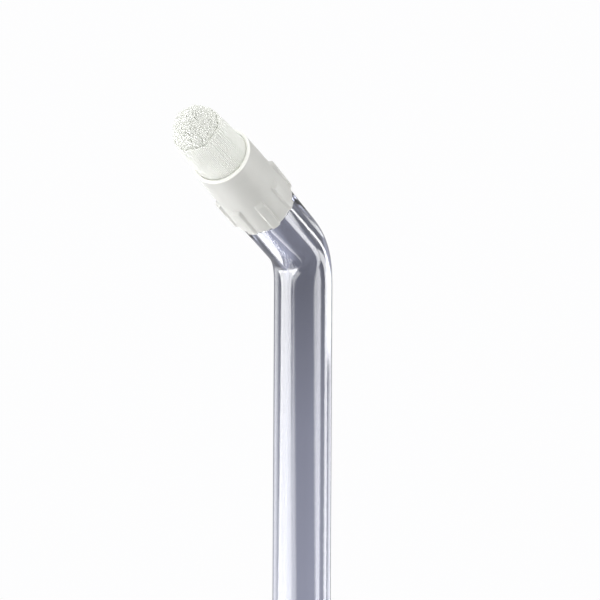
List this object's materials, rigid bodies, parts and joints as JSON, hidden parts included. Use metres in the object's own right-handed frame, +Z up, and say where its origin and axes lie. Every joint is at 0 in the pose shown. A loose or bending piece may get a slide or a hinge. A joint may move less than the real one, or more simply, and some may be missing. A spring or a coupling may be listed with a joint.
{
  "type": "saliva ejector tip",
  "caption": "Clear bent suction tube with a ribbed white push-on collar that holds a domed bundle of soft bristle tufts.",
  "frame": {"origin": "centre of the footprint on the plane of the tube's cut end; the stem's own axis stands at y = +11.46 mm", "axes": "+Z up along the stem, -Y the way the leg and the brush lean, X across the bend's plane"},
  "size_m": [0.0074, 0.0294, 0.1094],
  "materials": {
    "clear_plastic": "gloss",
    "seal_silicone": "satin",
    "collar_plastic": "satin",
    "block_plastic": "satin",
    "bristle_nylon": "satin"
  },
  "bodies": {
    "tube": {"clear_tube": "clear_plastic"},
    "seal_ring": {"seal_ring": "seal_silicone"},
    "head": {"grip_collar": "collar_plastic", "bristle_block": "block_plastic"},
    "tuft_outer_01": {"bristle_tuft_outer_01": "bristle_nylon"},
    "tuft_outer_02": {"bristle_tuft_outer_02": "bristle_nylon"},
    "tuft_outer_03": {"bristle_tuft_outer_03": "bristle_nylon"},
    "tuft_outer_04": {"bristle_tuft_outer_04": "bristle_nylon"},
    "tuft_outer_05": {"bristle_tuft_outer_05": "bristle_nylon"},
    "tuft_outer_06": {"bristle_tuft_outer_06": "bristle_nylon"},
    "tuft_outer_07": {"bristle_tuft_outer_07": "bristle_nylon"},
    "tuft_outer_08": {"bristle_tuft_outer_08": "bristle_nylon"},
    "tuft_outer_09": {"bristle_tuft_outer_09": "bristle_nylon"},
    "tuft_outer_10": {"bristle_tuft_outer_10": "bristle_nylon"},
    "tuft_outer_11": {"bristle_tuft_outer_11": "bristle_nylon"},
    "tuft_outer_12": {"bristle_tuft_outer_12": "bristle_nylon"},
    "tuft_outer_13": {"bristle_tuft_outer_13": "bristle_nylon"},
    "tuft_outer_14": {"bristle_tuft_outer_14": "bristle_nylon"},
    "tuft_outer_15": {"bristle_tuft_outer_15": "bristle_nylon"},
    "tuft_outer_16": {"bristle_tuft_outer_16": "bristle_nylon"},
    "tuft_outer_17": {"bristle_tuft_outer_17": "bristle_nylon"},
    "tuft_outer_18": {"bristle_tuft_outer_18": "bristle_nylon"},
    "tuft_middle_01": {"bristle_tuft_middle_01": "bristle_nylon"},
    "tuft_middle_02": {"bristle_tuft_middle_02": "bristle_nylon"},
    "tuft_middle_03": {"bristle_tuft_middle_03": "bristle_nylon"},
    "tuft_middle_04": {"bristle_tuft_middle_04": "bristle_nylon"},
    "tuft_middle_05": {"bristle_tuft_middle_05": "bristle_nylon"},
    "tuft_middle_06": {"bristle_tuft_middle_06": "bristle_nylon"},
    "tuft_middle_07": {"bristle_tuft_middle_07": "bristle_nylon"},
    "tuft_middle_08": {"bristle_tuft_middle_08": "bristle_nylon"},
    "tuft_middle_09": {"bristle_tuft_middle_09": "bristle_nylon"},
    "tuft_middle_10": {"bristle_tuft_middle_10": "bristle_nylon"},
    "tuft_middle_11": {"bristle_tuft_middle_11": "bristle_nylon"},
    "tuft_middle_12": {"bristle_tuft_middle_12": "bristle_nylon"},
    "tuft_inner_01": {"bristle_tuft_inner_01": "bristle_nylon"},
    "tuft_inner_02": {"bristle_tuft_inner_02": "bristle_nylon"},
    "tuft_inner_03": {"bristle_tuft_inner_03": "bristle_nylon"},
    "tuft_inner_04": {"bristle_tuft_inner_04": "bristle_nylon"},
    "tuft_inner_05": {"bristle_tuft_inner_05": "bristle_nylon"},
    "tuft_inner_06": {"bristle_tuft_inner_06": "bristle_nylon"}
  },
  "joints": [
    {"name": "head_twist", "type": "hinge", "parent": "tube", "child": "seal_ring", "pos_m": [0, -0.00087, 0.10175], "axis": [0, -0.9063, 0.4226], "continuous": true},
    {"name": "head_pull_off", "type": "slide", "parent": "seal_ring", "child": "head", "axis": [0, -0.9063, 0.4226], "range_m": [0, 0.008]},
    {"name": "bristle_splay", "type": "hinge", "parent": "head", "child": "tuft_outer_01", "pos_m": [0.00227, -0.00771, 0.10494], "axis": [0, 0.4226, 0.9063], "range_deg": [0, 10]},
    {"name": "splay_outer_02", "type": "hinge", "parent": "head", "child": "tuft_outer_02", "pos_m": [0.00213, -0.00738, 0.10564], "axis": [-0.342, 0.3971, 0.8517], "range_deg": [0, 10]},
    {"name": "splay_outer_03", "type": "hinge", "parent": "head", "child": "tuft_outer_03", "pos_m": [0.00174, -0.00709, 0.10626], "axis": [-0.6428, 0.3237, 0.6943], "range_deg": [0, 10]},
    {"name": "splay_outer_04", "type": "hinge", "parent": "head", "child": "tuft_outer_04", "pos_m": [0.00113, -0.00688, 0.10672], "axis": [-0.866, 0.2113, 0.4532], "range_deg": [0, 10]},
    {"name": "splay_outer_05", "type": "hinge", "parent": "head", "child": "tuft_outer_05", "pos_m": [0.00039, -0.00676, 0.10696], "axis": [-0.9848, 0.0734, 0.1574], "range_deg": [0, 10]},
    {"name": "splay_outer_06", "type": "hinge", "parent": "head", "child": "tuft_outer_06", "pos_m": [-0.00039, -0.00676, 0.10696], "axis": [-0.9848, -0.0734, -0.1574], "range_deg": [0, 10]},
    {"name": "splay_outer_07", "type": "hinge", "parent": "head", "child": "tuft_outer_07", "pos_m": [-0.00113, -0.00688, 0.10672], "axis": [-0.866, -0.2113, -0.4532], "range_deg": [0, 10]},
    {"name": "splay_outer_08", "type": "hinge", "parent": "head", "child": "tuft_outer_08", "pos_m": [-0.00174, -0.00709, 0.10626], "axis": [-0.6428, -0.3237, -0.6943], "range_deg": [0, 10]},
    {"name": "splay_outer_09", "type": "hinge", "parent": "head", "child": "tuft_outer_09", "pos_m": [-0.00213, -0.00738, 0.10564], "axis": [-0.342, -0.3971, -0.8517], "range_deg": [0, 10]},
    {"name": "splay_outer_10", "type": "hinge", "parent": "head", "child": "tuft_outer_10", "pos_m": [-0.00227, -0.00771, 0.10494], "axis": [0, -0.4226, -0.9063], "range_deg": [0, 10]},
    {"name": "splay_outer_11", "type": "hinge", "parent": "head", "child": "tuft_outer_11", "pos_m": [-0.00213, -0.00804, 0.10423], "axis": [0.342, -0.3971, -0.8517], "range_deg": [0, 10]},
    {"name": "splay_outer_12", "type": "hinge", "parent": "head", "child": "tuft_outer_12", "pos_m": [-0.00174, -0.00833, 0.10362], "axis": [0.6428, -0.3237, -0.6943], "range_deg": [0, 10]},
    {"name": "splay_outer_13", "type": "hinge", "parent": "head", "child": "tuft_outer_13", "pos_m": [-0.00113, -0.00854, 0.10316], "axis": [0.866, -0.2113, -0.4532], "range_deg": [0, 10]},
    {"name": "splay_outer_14", "type": "hinge", "parent": "head", "child": "tuft_outer_14", "pos_m": [-0.00039, -0.00865, 0.10291], "axis": [0.9848, -0.0734, -0.1574], "range_deg": [0, 10]},
    {"name": "splay_outer_15", "type": "hinge", "parent": "head", "child": "tuft_outer_15", "pos_m": [0.00039, -0.00865, 0.10291], "axis": [0.9848, 0.0734, 0.1574], "range_deg": [0, 10]},
    {"name": "splay_outer_16", "type": "hinge", "parent": "head", "child": "tuft_outer_16", "pos_m": [0.00113, -0.00854, 0.10316], "axis": [0.866, 0.2113, 0.4532], "range_deg": [0, 10]},
    {"name": "splay_outer_17", "type": "hinge", "parent": "head", "child": "tuft_outer_17", "pos_m": [0.00174, -0.00833, 0.10362], "axis": [0.6428, 0.3237, 0.6943], "range_deg": [0, 10]},
    {"name": "splay_outer_18", "type": "hinge", "parent": "head", "child": "tuft_outer_18", "pos_m": [0.00213, -0.00804, 0.10423], "axis": [0.342, 0.3971, 0.8517], "range_deg": [0, 10]},
    {"name": "splay_middle_01", "type": "hinge", "parent": "head", "child": "tuft_middle_01", "pos_m": [0.00147, -0.00754, 0.10529], "axis": [-0.2588, 0.4082, 0.8754], "range_deg": [0, 6.7]},
    {"name": "splay_middle_02", "type": "hinge", "parent": "head", "child": "tuft_middle_02", "pos_m": [0.00107, -0.00725, 0.10591], "axis": [-0.7071, 0.2988, 0.6409], "range_deg": [0, 6.7]},
    {"name": "splay_middle_03", "type": "hinge", "parent": "head", "child": "tuft_middle_03", "pos_m": [0.00039, -0.00709, 0.10627], "axis": [-0.9659, 0.1094, 0.2346], "range_deg": [0, 6.7]},
    {"name": "splay_middle_04", "type": "hinge", "parent": "head", "child": "tuft_middle_04", "pos_m": [-0.00039, -0.00709, 0.10627], "axis": [-0.9659, -0.1094, -0.2346], "range_deg": [0, 6.7]},
    {"name": "splay_middle_05", "type": "hinge", "parent": "head", "child": "tuft_middle_05", "pos_m": [-0.00107, -0.00725, 0.10591], "axis": [-0.7071, -0.2988, -0.6409], "range_deg": [0, 6.7]},
    {"name": "splay_middle_06", "type": "hinge", "parent": "head", "child": "tuft_middle_06", "pos_m": [-0.00147, -0.00754, 0.10529], "axis": [-0.2588, -0.4082, -0.8754], "range_deg": [0, 6.7]},
    {"name": "splay_middle_07", "type": "hinge", "parent": "head", "child": "tuft_middle_07", "pos_m": [-0.00147, -0.00787, 0.10458], "axis": [0.2588, -0.4082, -0.8754], "range_deg": [0, 6.7]},
    {"name": "splay_middle_08", "type": "hinge", "parent": "head", "child": "tuft_middle_08", "pos_m": [-0.00107, -0.00816, 0.10396], "axis": [0.7071, -0.2988, -0.6409], "range_deg": [0, 6.7]},
    {"name": "splay_middle_09", "type": "hinge", "parent": "head", "child": "tuft_middle_09", "pos_m": [-0.00039, -0.00833, 0.10361], "axis": [0.9659, -0.1094, -0.2346], "range_deg": [0, 6.7]},
    {"name": "splay_middle_10", "type": "hinge", "parent": "head", "child": "tuft_middle_10", "pos_m": [0.00039, -0.00833, 0.10361], "axis": [0.9659, 0.1094, 0.2346], "range_deg": [0, 6.7]},
    {"name": "splay_middle_11", "type": "hinge", "parent": "head", "child": "tuft_middle_11", "pos_m": [0.00107, -0.00816, 0.10396], "axis": [0.7071, 0.2988, 0.6409], "range_deg": [0, 6.7]},
    {"name": "splay_middle_12", "type": "hinge", "parent": "head", "child": "tuft_middle_12", "pos_m": [0.00147, -0.00787, 0.10458], "axis": [0.2588, 0.4082, 0.8754], "range_deg": [0, 6.7]},
    {"name": "splay_inner_01", "type": "hinge", "parent": "head", "child": "tuft_inner_01", "pos_m": [0.00078, -0.00771, 0.10494], "axis": [0, 0.4226, 0.9063], "range_deg": [0, 3.44]},
    {"name": "splay_inner_02", "type": "hinge", "parent": "head", "child": "tuft_inner_02", "pos_m": [0.00039, -0.00742, 0.10555], "axis": [-0.866, 0.2113, 0.4532], "range_deg": [0, 3.44]},
    {"name": "splay_inner_03", "type": "hinge", "parent": "head", "child": "tuft_inner_03", "pos_m": [-0.00039, -0.00742, 0.10555], "axis": [-0.866, -0.2113, -0.4532], "range_deg": [0, 3.44]},
    {"name": "splay_inner_04", "type": "hinge", "parent": "head", "child": "tuft_inner_04", "pos_m": [-0.00078, -0.00771, 0.10494], "axis": [0, -0.4226, -0.9063], "range_deg": [0, 3.44]},
    {"name": "splay_inner_05", "type": "hinge", "parent": "head", "child": "tuft_inner_05", "pos_m": [-0.00039, -0.00799, 0.10433], "axis": [0.866, -0.2113, -0.4532], "range_deg": [0, 3.44]},
    {"name": "splay_inner_06", "type": "hinge", "parent": "head", "child": "tuft_inner_06", "pos_m": [0.00039, -0.00799, 0.10433], "axis": [0.866, 0.2113, 0.4532], "range_deg": [0, 3.44]}
  ],
  "couplings": [
    {"joint": "splay_outer_02", "follows": "bristle_splay", "ratio": 1},
    {"joint": "splay_outer_03", "follows": "bristle_splay", "ratio": 1},
    {"joint": "splay_outer_04", "follows": "bristle_splay", "ratio": 1},
    {"joint": "splay_outer_05", "follows": "bristle_splay", "ratio": 1},
    {"joint": "splay_outer_06", "follows": "bristle_splay", "ratio": 1},
    {"joint": "splay_outer_07", "follows": "bristle_splay", "ratio": 1},
    {"joint": "splay_outer_08", "follows": "bristle_splay", "ratio": 1},
    {"joint": "splay_outer_09", "follows": "bristle_splay", "ratio": 1},
    {"joint": "splay_outer_10", "follows": "bristle_splay", "ratio": 1},
    {"joint": "splay_outer_11", "follows": "bristle_splay", "ratio": 1},
    {"joint": "splay_outer_12", "follows": "bristle_splay", "ratio": 1},
    {"joint": "splay_outer_13", "follows": "bristle_splay", "ratio": 1},
    {"joint": "splay_outer_14", "follows": "bristle_splay", "ratio": 1},
    {"joint": "splay_outer_15", "follows": "bristle_splay", "ratio": 1},
    {"joint": "splay_outer_16", "follows": "bristle_splay", "ratio": 1},
    {"joint": "splay_outer_17", "follows": "bristle_splay", "ratio": 1},
    {"joint": "splay_outer_18", "follows": "bristle_splay", "ratio": 1},
    {"joint": "splay_middle_01", "follows": "bristle_splay", "ratio": 0.6696},
    {"joint": "splay_middle_02", "follows": "bristle_splay", "ratio": 0.6696},
    {"joint": "splay_middle_03", "follows": "bristle_splay", "ratio": 0.6696},
    {"joint": "splay_middle_04", "follows": "bristle_splay", "ratio": 0.6696},
    {"joint": "splay_middle_05", "follows": "bristle_splay", "ratio": 0.6696},
    {"joint": "splay_middle_06", "follows": "bristle_splay", "ratio": 0.6696},
    {"joint": "splay_middle_07", "follows": "bristle_splay", "ratio": 0.6696},
    {"joint": "splay_middle_08", "follows": "bristle_splay", "ratio": 0.6696},
    {"joint": "splay_middle_09", "follows": "bristle_splay", "ratio": 0.6696},
    {"joint": "splay_middle_10", "follows": "bristle_splay", "ratio": 0.6696},
    {"joint": "splay_middle_11", "follows": "bristle_splay", "ratio": 0.6696},
    {"joint": "splay_middle_12", "follows": "bristle_splay", "ratio": 0.6696},
    {"joint": "splay_inner_01", "follows": "bristle_splay", "ratio": 0.34361},
    {"joint": "splay_inner_02", "follows": "bristle_splay", "ratio": 0.34361},
    {"joint": "splay_inner_03", "follows": "bristle_splay", "ratio": 0.34361},
    {"joint": "splay_inner_04", "follows": "bristle_splay", "ratio": 0.34361},
    {"joint": "splay_inner_05", "follows": "bristle_splay", "ratio": 0.34361},
    {"joint": "splay_inner_06", "follows": "bristle_splay", "ratio": 0.34361}
  ]
}
